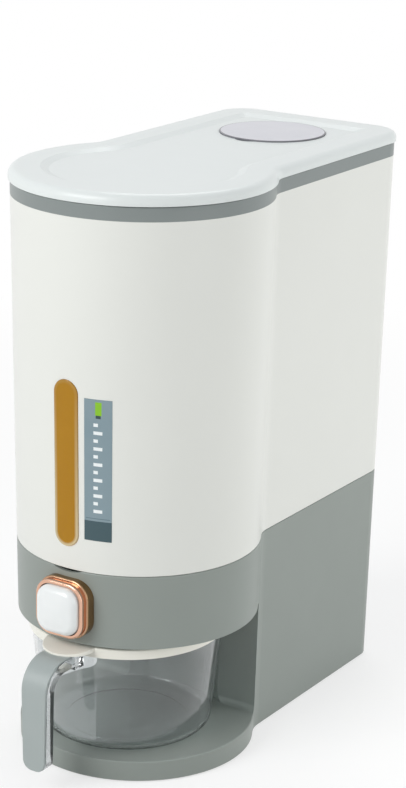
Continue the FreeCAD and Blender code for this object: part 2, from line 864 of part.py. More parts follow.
def desiccant_basket():
    r = well_r + well_step
    low = basket_top - well_depth
    body = cyl_z(r, 0, well_y, low, basket_top)
    rim = cyl_z(r + well_rim, 0, well_y, basket_top - well_wall, basket_top)
    body = joined([body, rim]).cut(
        cyl_z(r - well_wall, 0, well_y, low + well_wall, basket_top + over))
    slots = []
    for i in range(basket_slots):
        slot = box(-slot_half, slot_half, well_y - r - over, well_y - r + 2 * well_wall,
                   low + 4 * slot_half, basket_top - 5 * slot_half)
        slot.rotate(V(0, well_y, 0), V(0, 0, 1), 360 * i / basket_slots)
        slots.append(slot)
    for i in range(floor_slots):
        y = well_y + floor_slot_pitch * (i - (floor_slots - 1) / 2)
        slots.append(box(-r / 2, r / 2, y - slot_half, y + slot_half,
                         low - over, low + well_wall + over))
    return without(body, slots)


def desiccant_pack():
    low = basket_top - well_depth + well_wall + cap_gap
    pack = cyl_z(well_r - pack_gap, 0, well_y, low, basket_top - pack_drop)
    return pack.makeFillet(pack_edge_r, pack.Edges)


def freshness_cap():
    top = cap_z + cap_t
    disc = cyl_z(cap_r, 0, well_y, cap_z, top)
    disc = disc.makeFillet(lid_cap_edge_r, edges_where(disc, lambda b: b.ZMin > top - 0.01))
    dome_r = (cap_r ** 2 + cap_crown ** 2) / (2 * cap_crown)
    dome = Part.makeSphere(dome_r, V(0, well_y, top - cap_gap + cap_crown - dome_r))
    dome = dome.common(cyl_z(cap_r - 2 * lid_cap_edge_r, 0, well_y, top - cap_gap, top + cap_r))
    outer = well_r - skirt_gap
    skirt = cyl_z(outer, 0, well_y, cap_z - skirt_high, cap_z)
    skirt = skirt.cut(cyl_z(outer - skirt_t, 0, well_y, cap_z - skirt_high - over, cap_z))
    mid = cap_z - cap_seal_drop
    groove = cyl_z(well_r, 0, well_y, mid - groove_half, mid + groove_half)
    groove = groove.cut(cyl_z(cap_seal_major - cap_seal_r, 0, well_y,
                              mid - cap_r, mid + cap_r))
    return joined([disc, dome, skirt]).cut(groove)


def cap_seal():
    return Part.makeTorus(cap_seal_major, cap_seal_r, V(0, well_y, cap_z - cap_seal_drop))


def cup_radius(z):
    return cup_base_r + cup_taper * (z - cup_base_z) / (cup_top_z - cup_base_z)


def cup_block(inward, z0, z1):
    """Cone of the cup's own slope between two heights, its side moved in."""
    return Part.makeCone(cup_radius(z0) - inward, cup_radius(z1) - inward, z1 - z0,
                         V(0, cup_y, z0))


def cup_bowl():
    outer = cup_block(0.0, cup_base_z, cup_top_z)
    outer = outer.makeFillet(cup_corner_r, edges_where(
        outer, lambda b: b.ZMax < cup_base_z + 0.01))
    floor_z = cup_base_z + cup_floor
    inner = cup_block(cup_wall, floor_z, cup_top_z + over)
    inner = inner.makeFillet(cup_corner_r - cup_wall, edges_where(
        inner, lambda b: b.ZMax < floor_z + 0.01))
    foot = cyl_z(cup_base_r - cup_ring_w, 0, cup_y, cup_base_z - over, cup_base_z + cup_ring_h)
    return without(outer, [inner, foot])


def lip_plate():
    """Pouring lip: a round tongue on the handle, sloping down to its tip."""
    root, tip = -collar_front + lip_root, -collar_front - lip_reach
    low, high = handle_top + lip_end_t, collar_top
    side = Part.makePolygon([
        V(0, root, handle_top), V(0, tip, handle_top), V(0, tip, low),
        V(0, -collar_front, high), V(0, root, high), V(0, root, handle_top)])
    wedge = Part.Face(side).extrude(V(2 * front_r, 0, 0))
    wedge.translate(V(-front_r, 0, 0))
    lip = wedge.common(cyl_z(lip_half, 0, tip + lip_half, handle_top - over, high + over))
    return lip.makeFillet(lip_edge_r, edges_where(
        lip, lambda b: b.YMin < tip + lip_end_t and b.ZMin > handle_top + lip_end_t / 2))


def cup_collar():
    z0, z1 = collar_bottom, collar_top
    ring = cup_block(-collar_out, z0, z1)
    ring = ring.makeFillet(collar_edge_r, edges_where(ring, lambda b: b.ZMin > z1 - 0.01))
    return without(joined([ring, lip_plate()]), [cup_block(0.0, z0 - over, cup_top_z),
                                                 cup_block(cup_wall, z0 - over, z1 + over)])


def hook_outline(side):
    """Block with the handle's front view: it narrows down to a rounded end."""
    wide, narrow = handle_half - side, handle_end_half - side
    high = handle_top + over
    corners = [V(-wide, far, high), V(wide, far, high), V(narrow, far, handle_bottom),
               V(-narrow, far, handle_bottom), V(-wide, far, high)]
    block = Part.Face(Part.makePolygon(corners)).extrude(V(0, -3 * far, 0))
    return block.makeFillet(narrow - handle_end_flat, edges_where(
        block, lambda b: b.ZMax < handle_bottom + 0.01 and b.XMax - b.XMin < 0.01))


def hook_layer(a, b, side):
    """Layer of the hook handle between two depths below its outer face."""
    zc, yc = handle_top - handle_bend, handle_y + handle_bend
    low = handle_bottom

    def bend(d):
        q = (handle_bend - d) * math.sqrt(0.5)
        return Part.Arc(V(0, yc, handle_top - d), V(0, yc - q, zc + q),
                        V(0, handle_y + d, zc)).toShape()

    outer = [V(0, cup_y, handle_top - a), V(0, yc, handle_top - a)]
    inner = [V(0, yc, handle_top - b), V(0, cup_y, handle_top - b)]
    edges = [
        Part.makeLine(outer[0], outer[1]), bend(a),
        Part.makeLine(V(0, handle_y + a, zc), V(0, handle_y + a, low)),
        Part.makeLine(V(0, handle_y + a, low), V(0, handle_y + b, low)),
        Part.makeLine(V(0, handle_y + b, low), V(0, handle_y + b, zc)), bend(b),
        Part.makeLine(inner[0], inner[1]),
        Part.makeLine(inner[1], outer[0]),
    ]
    face = Part.Face(Part.Wire(edges))
    face.translate(V(-handle_half, 0, 0))
    slab = face.extrude(V(2 * handle_half, 0, 0)).common(hook_outline(side))
    return slab.cut(cup_block(-collar_out - root_clear, handle_bottom, collar_top + over))


def handle_cover():
    layer = hook_layer(0.0, handle_cover_t, handle_inlay)
    return layer.makeFillet(handle_edge_r, edges_where(
        layer, lambda b: b.YMax < handle_y + 0.01 and b.ZMax - b.ZMin > handle_end_half / 2))


def handle_core():
    layer = hook_layer(handle_cover_t, handle_cover_t + handle_core_t, 0.0)
    top = handle_top - handle_cover_t
    root = box(-root_half, root_half, -collar_front - root_reach, cup_y, top - root_high,
               top - handle_core_t / 2)
    root = root.cut(cup_block(0.0, handle_bottom, collar_top))
    root = root.cut(cup_block(-collar_out - root_clear, collar_bottom, collar_top))
    return joined([layer, root])


def save(name, shape):
    placed = shape.copy()
    placed.translate(V(0, axis_y, 0))
    placed.exportStep("parts/" + name + ".step")
    print(name, placed.isValid(), len(placed.Solids), round(placed.Volume))


def main():
    os.makedirs("parts", exist_ok=True)
    makers = [
        lower_housing, bottom_cover, rubber_feet, bottom_screws, upper_shell, level_window,
        front_label, top_collar, hopper_floor, chute_seal, valve_housing, valve_screws,
        button_bezel, button_cap, button_plunger, return_spring, outlet_gate, gate_seal,
        lid_shell, lid_seal, desiccant_basket, desiccant_pack, freshness_cap, cap_seal,
        cup_bowl, cup_collar, handle_core, handle_cover]
    for maker in makers:
        save(maker.__name__, maker())


main()
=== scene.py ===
import math

import bmesh
import bpy
from mathutils import Matrix, Vector


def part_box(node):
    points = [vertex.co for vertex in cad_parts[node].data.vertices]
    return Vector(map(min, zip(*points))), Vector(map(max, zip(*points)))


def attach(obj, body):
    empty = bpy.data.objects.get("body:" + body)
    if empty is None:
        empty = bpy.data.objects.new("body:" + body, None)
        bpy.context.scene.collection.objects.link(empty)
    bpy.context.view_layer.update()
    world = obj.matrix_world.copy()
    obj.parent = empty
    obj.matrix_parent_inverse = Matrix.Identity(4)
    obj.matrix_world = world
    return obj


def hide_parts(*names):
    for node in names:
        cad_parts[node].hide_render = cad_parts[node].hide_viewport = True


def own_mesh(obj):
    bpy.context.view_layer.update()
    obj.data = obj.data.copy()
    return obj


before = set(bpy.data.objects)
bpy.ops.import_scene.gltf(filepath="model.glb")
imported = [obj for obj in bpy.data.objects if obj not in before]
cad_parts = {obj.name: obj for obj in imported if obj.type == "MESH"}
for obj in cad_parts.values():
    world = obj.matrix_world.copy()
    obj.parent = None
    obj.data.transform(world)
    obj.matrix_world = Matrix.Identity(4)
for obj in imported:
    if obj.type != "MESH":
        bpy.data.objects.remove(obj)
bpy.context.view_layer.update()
print("frame loaded:", len(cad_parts), "nodes")

# Metres, -Y is the front. The round front's axis stands at axisY, and its wall leans in towards the
# foot by its draft.
mm = 0.001
axisY = -0.056655
footStand = 1 * mm
roundFront = {"radius": 92.5 * mm, "atHeight": 419 * mm, "draft": 0.0149}


def frontRadiusAt(z):
    return roundFront["radius"] - roundFront["draft"] * (roundFront["atHeight"] - z)


# The way out to a camera or a lamp, from degrees: azimuth 0 is the front and azimuth 90 is +X.
def wayTo(azimuth, elevation):
    az, el = math.radians(azimuth), math.radians(elevation)
    return Vector((math.sin(az) * math.cos(el), -math.cos(az) * math.cos(el), math.sin(el)))


# Small helpers for colours, nodes and meshes

# An sRGB hex colour as linear red, green, blue and alpha.
def linearColour(hexText):
    parts = [int(hexText[i:i + 2], 16) / 255 for i in (1, 3, 5)]
    return [c / 12.92 if c <= 0.04045 else ((c + 0.055) / 1.055) ** 2.4 for c in parts] + [1.0]


# Adds a node: an input is a value or another node's socket, and settings are its own properties.
def addNode(tree, kind, inputs=None, **settings):
    node = tree.nodes.new(kind)
    for key, value in settings.items():
        setattr(node, key, value)
    for key, value in (inputs or {}).items():
        if isinstance(value, bpy.types.NodeSocket):
            tree.links.new(value, node.inputs[key])
        else:
            node.inputs[key].default_value = value
    return node


# Values that are the same all over a surface go straight onto the shader's sockets.
def startMaterial(name, sockets):
    material = bpy.data.materials.new(name)
    material.use_nodes = True
    shader = material.node_tree.nodes["Principled BSDF"]
    for key, value in sockets.items():
        shader.inputs[key].default_value = value
    return material, material.node_tree, shader


noiseSpan = (0.3, 0.7)   # the part of its range from 0 to 1 that a noise seldom leaves


# Clouds shift the colour a little over centimetres, and a fine grain gives roughness and bump.
# A Mix node holds its two colours at inputs 6 and 7 and the mixed one at output 2, here and below.
def addSurface(tree, shader, look):
    place = addNode(tree, "ShaderNodeTexCoord").outputs["Object"]
    clouds = addNode(tree, "ShaderNodeTexNoise", {
        "Vector": place, "Scale": 1 / (look["cloudMm"] * mm), "Detail": 3.0, "Roughness": 0.55})
    tint = addNode(tree, "ShaderNodeMix", {
        0: clouds.outputs["Fac"],
        6: linearColour(look["colour"]), 7: linearColour(look["colourTo"])}, data_type="RGBA")
    grain = addNode(tree, "ShaderNodeTexNoise", {
        "Vector": place, "Scale": 1 / (look["grainMm"] * mm), "Detail": 2.0})
    rough = addNode(tree, "ShaderNodeMapRange", {
        "Value": grain.outputs["Fac"], "From Min": noiseSpan[0], "From Max": noiseSpan[1],
        "To Min": look["roughFrom"], "To Max": look["roughTo"]})
    bump = addNode(tree, "ShaderNodeBump", {
        "Height": grain.outputs["Fac"], "Distance": look["grainDeepMm"] * mm,
        "Strength": look["grainStrength"]})
    tree.links.new(tint.outputs[2], shader.inputs["Base Color"])
    tree.links.new(rough.outputs["Result"], shader.inputs["Roughness"])
    tree.links.new(bump.outputs["Normal"], shader.inputs["Normal"])
    return tint.outputs[2]


def mouldedPlastic(name, look):
    material, tree, shader = startMaterial(name, look["sockets"])
    addSurface(tree, shader, look)
    return material


# Clear parts let lamps through, so what they hold isn't left dark.
def letLampsThrough(tree, shader, lampTint):
    path = addNode(tree, "ShaderNodeLightPath")
    through = addNode(tree, "ShaderNodeBsdfTransparent", {"Color": linearColour(lampTint)})
    mixed = addNode(tree, "ShaderNodeMixShader", {
        0: path.outputs["Is Shadow Ray"], 1: shader.outputs["BSDF"], 2: through.outputs["BSDF"]})
    tree.links.new(mixed.outputs["Shader"], tree.nodes["Material Output"].inputs["Surface"])


def clearPlastic(name, look):
    material, tree, shader = startMaterial(name, look["sockets"])
    addSurface(tree, shader, look)
    letLampsThrough(tree, shader, look["lampTint"])
    return material


# 1 where a surface is seen directly, mirrored or through clear parts, else 0.
def addSeen(tree):
    path = addNode(tree, "ShaderNodeLightPath")
    looked = addNode(tree, "ShaderNodeMath", {
        0: path.outputs["Is Camera Ray"], 1: path.outputs["Is Glossy Ray"]}, operation="MAXIMUM")
    return addNode(tree, "ShaderNodeMath", {
        0: looked.outputs[0], 1: path.outputs["Is Transmission Ray"]},
        operation="MAXIMUM").outputs[0]


def dressNode(node, material):
    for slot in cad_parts[node].material_slots:
        slot.material = material


# Turns a finished bmesh into a piece that stands for a CAD node.
def makePiece(bm, form, material):
    mesh = bpy.data.meshes.new(form["name"])
    bm.to_mesh(mesh)
    bm.free()
    for polygon in mesh.polygons:
        polygon.use_smooth = True
    mesh.set_sharp_from_angle(angle=math.radians(form["sharpDegrees"]))
    mesh.materials.append(material)
    piece = bpy.data.objects.new(form["name"], mesh)
    bpy.context.collection.objects.link(piece)
    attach(piece, form["body"])
    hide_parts(form["node"])
    return piece


# 1 where a value lies between two limits, else 0.
def addBand(tree, value, low, high):
    above = addNode(tree, "ShaderNodeMath", {0: value, 1: low}, operation="GREATER_THAN")
    below = addNode(tree, "ShaderNodeMath", {0: value, 1: high}, operation="LESS_THAN")
    return addNode(tree, "ShaderNodeMath", {
        0: above.outputs[0], 1: below.outputs[0]}, operation="MULTIPLY").outputs[0]


# Materials, each named for the real one and how its surface was made

# Injection-moulded ABS in a mid grey, from a fine sparked tool: satin, with a grain too fine to
# see, drawn at half a millimetre so that it shows in the highlights.
greyAbs = mouldedPlastic("greyAbsSatin", {
    "sockets": {"IOR": 1.52, "Specular IOR Level": 0.42},
    "colour": "#8C938E", "colourTo": "#929994", "cloudMm": 60,
    "grainMm": 0.5, "grainDeepMm": 0.01, "grainStrength": 0.25,
    "roughFrom": 0.36, "roughTo": 0.42})

# The same ABS in the band under the lid, from a smoother tool.
bandAbs = mouldedPlastic("bandAbsSatin", {
    "sockets": {"IOR": 1.52, "Specular IOR Level": 0.42},
    "colour": "#818887", "colourTo": "#868D8C", "cloudMm": 60,
    "grainMm": 0.5, "grainDeepMm": 0.01, "grainStrength": 0.2,
    "roughFrom": 0.34, "roughTo": 0.4})

# The handle's cover is a thinner moulding of a cooler, paler grey.
coverAbs = mouldedPlastic("coverAbsSatin", {
    "sockets": {"IOR": 1.52, "Specular IOR Level": 0.42},
    "colour": "#A2ABAA", "colourTo": "#A8B0AF", "cloudMm": 30,
    "grainMm": 0.5, "grainDeepMm": 0.01, "grainStrength": 0.2,
    "roughFrom": 0.32, "roughTo": 0.38})

# White ABS from a polished tool: soft gloss, slightly warm, with the slow waves of a thin wall.
whiteAbs = mouldedPlastic("whiteAbsGloss", {
    "sockets": {"IOR": 1.52, "Specular IOR Level": 0.35},
    "colour": "#E3E4DF", "colourTo": "#E7E8E3", "cloudMm": 120,
    "grainMm": 14, "grainDeepMm": 0.01, "grainStrength": 0.1,
    "roughFrom": 0.285, "roughTo": 0.305})

# Lid ABS from a finer tool, a cooler white that shines a little more.
lidAbs = mouldedPlastic("lidAbsGloss", {
    "sockets": {"IOR": 1.52, "Specular IOR Level": 0.4},
    "colour": "#DFE4E3", "colourTo": "#E2E7E6", "cloudMm": 90,
    "grainMm": 14, "grainDeepMm": 0.01, "grainStrength": 0.1,
    "roughFrom": 0.285, "roughTo": 0.31})

# The freshness cap is polypropylene, which looks waxy and a little lavender. The shade in the gap
# round it is too fine to show, so it is painted as a dark line of shade one millimetre wide on the
# cap's own edge.
capLook = {
    "sockets": {"IOR": 1.49, "Specular IOR Level": 0.5},
    "colour": "#CBCBD3", "colourTo": "#D4D4DA", "cloudMm": 30,
    "grainMm": 9, "grainDeepMm": 0.01, "grainStrength": 0.1,
    "roughFrom": 0.29, "roughTo": 0.33, "line": "#77777D", "gapShadeMm": 1.0,
}


def capPlastic(look):
    material, tree, shader = startMaterial("capPolypropylene", look["sockets"])
    tint = addSurface(tree, shader, look)
    low, high = (Vector(corner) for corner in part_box("freshness_cap"))
    middle = (low + high) / 2
    place = addNode(tree, "ShaderNodeTexCoord").outputs["Object"]
    offset = addNode(tree, "ShaderNodeVectorMath", {0: place, 1: middle}, operation="SUBTRACT")
    flat = addNode(tree, "ShaderNodeVectorMath", {
        0: offset.outputs[0], 1: (1, 1, 0)}, operation="MULTIPLY")
    reach = addNode(tree, "ShaderNodeVectorMath", {0: flat.outputs[0]}, operation="LENGTH")
    # Painted shade: the cap's outer millimetre turns dark, standing for the shadow in the gap round
    # it.
    edge = (high.x - low.x) / 2 - look["gapShadeMm"] * mm
    line = addNode(tree, "ShaderNodeMath", {
        0: reach.outputs["Value"], 1: edge}, operation="GREATER_THAN")
    colour = addNode(tree, "ShaderNodeMix", {
        0: line.outputs[0], 6: tint, 7: linearColour(look["line"])}, data_type="RGBA")
    tree.links.new(colour.outputs[2], shader.inputs["Base Color"])
    return material


# White polypropylene of the inner parts, satin from the tool.
innerPolypropylene = mouldedPlastic("innerPolypropylene", {
    "sockets": {"IOR": 1.49},
    "colour": "#D4D4CE", "colourTo": "#DBDBD5", "cloudMm": 50,
    "grainMm": 0.8, "grainDeepMm": 0.02, "grainStrength": 0.4,
    "roughFrom": 0.4, "roughTo": 0.52})

# Button ABS from a mirror-polished tool, under a thin clear lacquer that sharpens its highlights.
buttonAbs = mouldedPlastic("buttonAbsGloss", {
    "sockets": {"IOR": 1.52, "Coat Weight": 0.5, "Coat Roughness": 0.06},
    "colour": "#E9EDED", "colourTo": "#EEF0F0", "cloudMm": 25,
    "grainMm": 1.0, "grainDeepMm": 0.01, "grainStrength": 0.2,
    "roughFrom": 0.18, "roughTo": 0.26})

# Collar ABS, a creamier white with a light gloss.
collarAbs = mouldedPlastic("collarAbsGloss", {
    "sockets": {"IOR": 1.52, "Coat Weight": 0.2, "Coat Roughness": 0.1},
    "colour": "#F2F0E5", "colourTo": "#F4F2E9", "cloudMm": 40,
    "grainMm": 6, "grainDeepMm": 0.01, "grainStrength": 0.1,
    "roughFrom": 0.29, "roughTo": 0.34})

# Moulded acetal of the moving parts inside: dark, waxy and satin.
darkAcetal = mouldedPlastic("darkAcetal", {
    "sockets": {"IOR": 1.48},
    "colour": "#4E5150", "colourTo": "#565958", "cloudMm": 30,
    "grainMm": 0.6, "grainDeepMm": 0.02, "grainStrength": 0.4,
    "roughFrom": 0.36, "roughTo": 0.46})

# Moulded silicone of the seals: pale grey, soft and almost matt.
sealSilicone = mouldedPlastic("sealSilicone", {
    "sockets": {"IOR": 1.41, "Sheen Weight": 0.1},
    "colour": "#BFC2C2", "colourTo": "#C8CBCB", "cloudMm": 20,
    "grainMm": 0.7, "grainDeepMm": 0.03, "grainStrength": 0.5,
    "roughFrom": 0.55, "roughTo": 0.7})

# Moulded rubber of the feet: dark and matt, with a soft bloom at its edges.
footRubber = mouldedPlastic("footRubber", {
    "sockets": {"IOR": 1.52, "Sheen Weight": 0.1},
    "colour": "#3C3D3D", "colourTo": "#464747", "cloudMm": 6,
    "grainMm": 0.4, "grainDeepMm": 0.05, "grainStrength": 0.6,
    "roughFrom": 0.65, "roughTo": 0.8})

# Bleached paper of the desiccant pack: matt, with its fibres just raised.
packPaper = mouldedPlastic("packPaper", {
    "sockets": {"IOR": 1.5, "Sheen Weight": 0.1},
    "colour": "#E1DFD7", "colourTo": "#E9E7E0", "cloudMm": 8,
    "grainMm": 0.5, "grainDeepMm": 0.05, "grainStrength": 0.7,
    "roughFrom": 0.75, "roughTo": 0.9})

# Rose-gold plating over moulded ABS. The front bead is a bright copper, and the flange behind it is
# painted a browner bronze, a painted reflection standing for the dark reflection its deep side
# shows.
platingLook = {
    "sockets": {"Metallic": 1.0},
    "colour": "#DCAE95", "colourTo": "#E2B9A2", "cloudMm": 12,
    "grainMm": 1.5, "grainDeepMm": 0.01, "grainStrength": 0.25,
    "roughFrom": 0.14, "roughTo": 0.22,
    "flangeDarkReflection": "#9A7B58", "beadDeepMm": 4.4, "fadeMm": 1.6,
}


def roseGoldPlating(look):
    material, tree, shader = startMaterial("roseGoldPlating", look["sockets"])
    tint = addSurface(tree, shader, look)
    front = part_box("button_bezel")[0][1]
    place = addNode(tree, "ShaderNodeTexCoord").outputs["Object"]
    across = addNode(tree, "ShaderNodeSeparateXYZ", {"Vector": place})
    # Painted reflection: from here back the flange is coloured a darker bronze.
    start = front + look["beadDeepMm"] * mm
    behind = addNode(tree, "ShaderNodeMapRange", {
        "Value": across.outputs["Y"], "From Min": start, "From Max": start + look["fadeMm"] * mm})
    colour = addNode(tree, "ShaderNodeMix", {
        0: behind.outputs["Result"], 6: tint, 7: linearColour(look["flangeDarkReflection"])}, data_type="RGBA")
    tree.links.new(colour.outputs[2], shader.inputs["Base Color"])
    return material


roseGold = roseGoldPlating(platingLook)

# Zinc-plated steel of the screws and the spring, bright and slightly uneven from the bath.
screwSteel = mouldedPlastic("zincPlatedSteel", {
    "sockets": {"Metallic": 1.0},
    "colour": "#A9ABAC", "colourTo": "#B5B6B6", "cloudMm": 3,
    "grainMm": 0.4, "grainDeepMm": 0.02, "grainStrength": 0.4,
    "roughFrom": 0.25, "roughTo": 0.4})

# Screen-printed polyester film with a satin lacquer. Its print is laid out from 0 to 1 across and
# up the label: a slate ground, a lime tab, a dark tab under it, a column of plain level marks, and
# a thin line over a dark foot that runs past the label's lower edge.
labelLook = {
    "sockets": {"IOR": 1.5},
    "colour": "#7A9099", "colourTo": "#8799A1", "cloudMm": 25,
    "grainMm": 0.5, "grainDeepMm": 0.005, "grainStrength": 0.2,
    "roughFrom": 0.3, "roughTo": 0.38,
    "lime": "#86C01C", "limeAcross": (0.4, 0.63), "limeUp": (0.888, 0.982),
    "tab": "#2E4448", "tabAcross": (0.42, 0.6), "tabUp": (0.868, 0.89),
    "mark": "#EDF2F3", "markCount": 12, "markUp": (0.185, 0.85), "markAcross": (0.34, 0.66),
    "markThick": 0.42, "shortMark": 0.5,
    "foot": "#3A535A", "footAcross": (0.0, 1.0), "footUp": (-1.0, 0.142),
    "line": "#5A727A", "lineAcross": (0.06, 0.94), "lineUp": (0.158, 0.163),
}


def printedFilm(look):
    material, tree, shader = startMaterial("labelFilm", look["sockets"])
    colour = addSurface(tree, shader, look)
    place = addNode(tree, "ShaderNodeUVMap", uv_map="label")
    split = addNode(tree, "ShaderNodeSeparateXYZ", {"Vector": place.outputs["UV"]})
    across, up = split.outputs["X"], split.outputs["Y"]
    masks = {}
    for name in ("lime", "tab", "foot", "line"):
        masks[name] = addNode(tree, "ShaderNodeMath", {
            0: addBand(tree, across, *look[name + "Across"]),
            1: addBand(tree, up, *look[name + "Up"])}, operation="MULTIPLY").outputs[0]

    # Rows of marks run from 0 to 1, with a mark in the middle of each. Every second mark is short.
    low, high = look["markUp"]
    row = addNode(tree, "ShaderNodeMapRange", {
        "Value": up, "From Min": low, "From Max": high, "To Max": float(look["markCount"])},
        clamp=False)
    inRow = addNode(tree, "ShaderNodeMath", {0: row.outputs["Result"]}, operation="FRACT")
    inPair = addNode(tree, "ShaderNodeMath", {0: row.outputs["Result"], 1: 2.0},
                     operation="FLOORED_MODULO")
    isShort = addNode(tree, "ShaderNodeMath", {0: inPair.outputs[0], 1: 1.0},
                      operation="GREATER_THAN")
    left, right = look["markAcross"]
    shortRight = left + (right - left) * look["shortMark"]
    end = addNode(tree, "ShaderNodeMapRange", {
        "Value": isShort.outputs[0], "To Min": right, "To Max": shortRight})
    halfThick = look["markThick"] / 2
    thick = addBand(tree, inRow.outputs[0], 0.5 - halfThick, 0.5 + halfThick)
    spread = addBand(tree, across, left, end.outputs["Result"])
    marks = addNode(tree, "ShaderNodeMath", {0: thick, 1: spread}, operation="MULTIPLY")
    masks["mark"] = addNode(tree, "ShaderNodeMath", {
        0: marks.outputs[0], 1: addBand(tree, up, low, high)}, operation="MULTIPLY").outputs[0]

    for name, mask in masks.items():
        colour = addNode(tree, "ShaderNodeMix", {
            0: mask, 6: colour, 7: linearColour(look[name])}, data_type="RGBA").outputs[2]
    tree.links.new(colour, shader.inputs["Base Color"])
    return material


labelFilm = printedFilm(labelLook)

# Injection-moulded styrene-acrylonitrile: clear as glass, with a faint grey cast.
clearSan = clearPlastic("clearSan", {
    "sockets": {"IOR": 1.5, "Transmission Weight": 0.98, "Specular IOR Level": 0.45},
    "colour": "#E6E9EA", "colourTo": "#ECEEEE", "cloudMm": 30,
    "grainMm": 6.0, "grainDeepMm": 0.02, "grainStrength": 0.12,
    "roughFrom": 0.0, "roughTo": 0.02, "lampTint": "#EDF0F0"})

# The handle is far thicker than the cup's wall, so the same plastic looks smokier in it.
handleSan = clearPlastic("clearSanThick", {
    "sockets": {"IOR": 1.5, "Transmission Weight": 0.96, "Specular IOR Level": 0.4},
    "colour": "#C8CCCD", "colourTo": "#CED2D3", "cloudMm": 30,
    "grainMm": 6.0, "grainDeepMm": 0.02, "grainStrength": 0.12,
    "roughFrom": 0.0, "roughTo": 0.02, "lampTint": "#DDE0E0"})

# The same plastic dyed amber. A pale line is painted round the window, strongest low down: a
# painted highlight standing for the light from the white shell that its moulded rim pipes.
windowLook = {
    "sockets": {"IOR": 1.5, "Transmission Weight": 0.2, "Specular IOR Level": 0.2},
    "colour": "#B3800A", "colourTo": "#BA8812", "cloudMm": 30,
    "grainMm": 3.0, "grainDeepMm": 0.01, "grainStrength": 0.1,
    "roughFrom": 0.06, "roughTo": 0.1, "lampTint": "#E0B060",
    "rim": "#DCCFA8", "halfMm": 10.0, "flangeMm": 3.0, "rimMm": 3.0, "rimFadeMm": 1.6,
    "rimAtTop": 0.1, "rimAtFoot": 0.9,
}


def windowPlastic(look):
    material, tree, shader = startMaterial("amberSan", look["sockets"])
    tint = addSurface(tree, shader, look)
    letLampsThrough(tree, shader, look["lampTint"])
    low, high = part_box("level_window")
    inset = (look["halfMm"] + look["flangeMm"]) * mm
    foot, top = low[2] + inset, high[2] - inset
    place = addNode(tree, "ShaderNodeSeparateXYZ", {
        "Vector": addNode(tree, "ShaderNodeTexCoord").outputs["Object"]})
    held = addNode(tree, "ShaderNodeClamp", {"Value": place.outputs["Z"], "Min": foot, "Max": top})
    past = addNode(tree, "ShaderNodeMath", {
        0: place.outputs["Z"], 1: held.outputs[0]}, operation="SUBTRACT")
    across = addNode(tree, "ShaderNodeCombineXYZ", {
        "X": place.outputs["X"], "Z": past.outputs[0]})
    reach = addNode(tree, "ShaderNodeVectorMath", {0: across.outputs[0]}, operation="LENGTH")
    # Painted highlight: a pale band along the window's edge, stronger towards its foot.
    start = (look["halfMm"] - look["rimMm"]) * mm
    rim = addNode(tree, "ShaderNodeMapRange", {
        "Value": reach.outputs["Value"], "From Min": start,
        "From Max": start + look["rimFadeMm"] * mm})
    strength = addNode(tree, "ShaderNodeMapRange", {
        "Value": place.outputs["Z"], "From Min": foot, "From Max": top,
        "To Min": look["rimAtFoot"], "To Max": look["rimAtTop"]})
    mask = addNode(tree, "ShaderNodeMath", {
        0: rim.outputs["Result"], 1: strength.outputs["Result"]}, operation="MULTIPLY")
    colour = addNode(tree, "ShaderNodeMix", {
        0: mask.outputs[0], 6: tint, 7: linearColour(look["rim"])}, data_type="RGBA")
    tree.links.new(colour.outputs[2], shader.inputs["Base Color"])
    return material


amberSan = windowPlastic(windowLook)

nodeMaterials = {
    "lower_housing": greyAbs, "bottom_cover": greyAbs, "top_collar": bandAbs,
    "handle_cover": coverAbs, "upper_shell": whiteAbs, "lid_shell": lidAbs,
    "freshness_cap": capPlastic(capLook), "hopper_floor": innerPolypropylene,
    "valve_housing": innerPolypropylene, "desiccant_basket": innerPolypropylene,
    "button_cap": buttonAbs, "cup_collar": collarAbs, "button_plunger": darkAcetal,
    "outlet_gate": darkAcetal, "chute_seal": sealSilicone, "gate_seal": sealSilicone,
    "lid_seal": sealSilicone, "cap_seal": sealSilicone, "rubber_feet": footRubber,
    "desiccant_pack": packPaper, "button_bezel": roseGold, "bottom_screws": screwSteel,
    "valve_screws": screwSteel, "return_spring": screwSteel, "front_label": labelFilm,
    "cup_bowl": clearSan, "handle_core": handleSan, "level_window": amberSan,
}
for node, material in nodeMaterials.items():
    dressNode(node, material)
print("materials made:", len(bpy.data.materials))


# Return spring: it is given a mesh of its own.

springForm = {"node": "return_spring", "joint": "button_press", "travel": 7.28 * mm}


def squeezeSpring(form):
    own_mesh(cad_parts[form["node"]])


squeezeSpring(springForm)


# Label, a thin film bent round the front and set into its pocket

labelForm = {"name": "labelPrint", "body": "housing", "node": "front_label", "slot": "label",
             "sharpDegrees": 40, "leftArc": 15.0 * mm, "wide": 20.7 * mm,
             "proud": 0.15 * mm, "thick": 0.4 * mm, "columns": 16, "rows": 24}


def makeLabel(form):
    low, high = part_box(form["node"])
    half = 0.5   # the grid runs from -half to half before it is bent
    bm = bmesh.new()
    layer = bm.loops.layers.uv.new("label")
    bmesh.ops.create_grid(bm, x_segments=form["columns"], y_segments=form["rows"], size=half,
                          calc_uvs=True)
    for face in bm.faces:
        for loop in face.loops:
            loop[layer].uv = (loop.vert.co.x + half, loop.vert.co.y + half)
    for vert in bm.verts:
        turn = (form["leftArc"] + form["wide"] * (vert.co.x + half)) / roundFront["radius"]
        z = low[2] + (high[2] - low[2]) * (vert.co.y + half)
        reach = frontRadiusAt(z) + form["proud"]
        vert.co = (reach * math.sin(turn), axisY - reach * math.cos(turn), z)
    bmesh.ops.recalc_face_normals(bm, faces=bm.faces)
    if sum(face.normal.y for face in bm.faces) > 0:
        bmesh.ops.reverse_faces(bm, faces=bm.faces)
    bmesh.ops.solidify(bm, geom=bm.faces[:], thickness=form["thick"])
    return makePiece(bm, form, labelFilm)


makeLabel(labelForm)
print("label made")


# Push button, a soft pillow with a crowned face

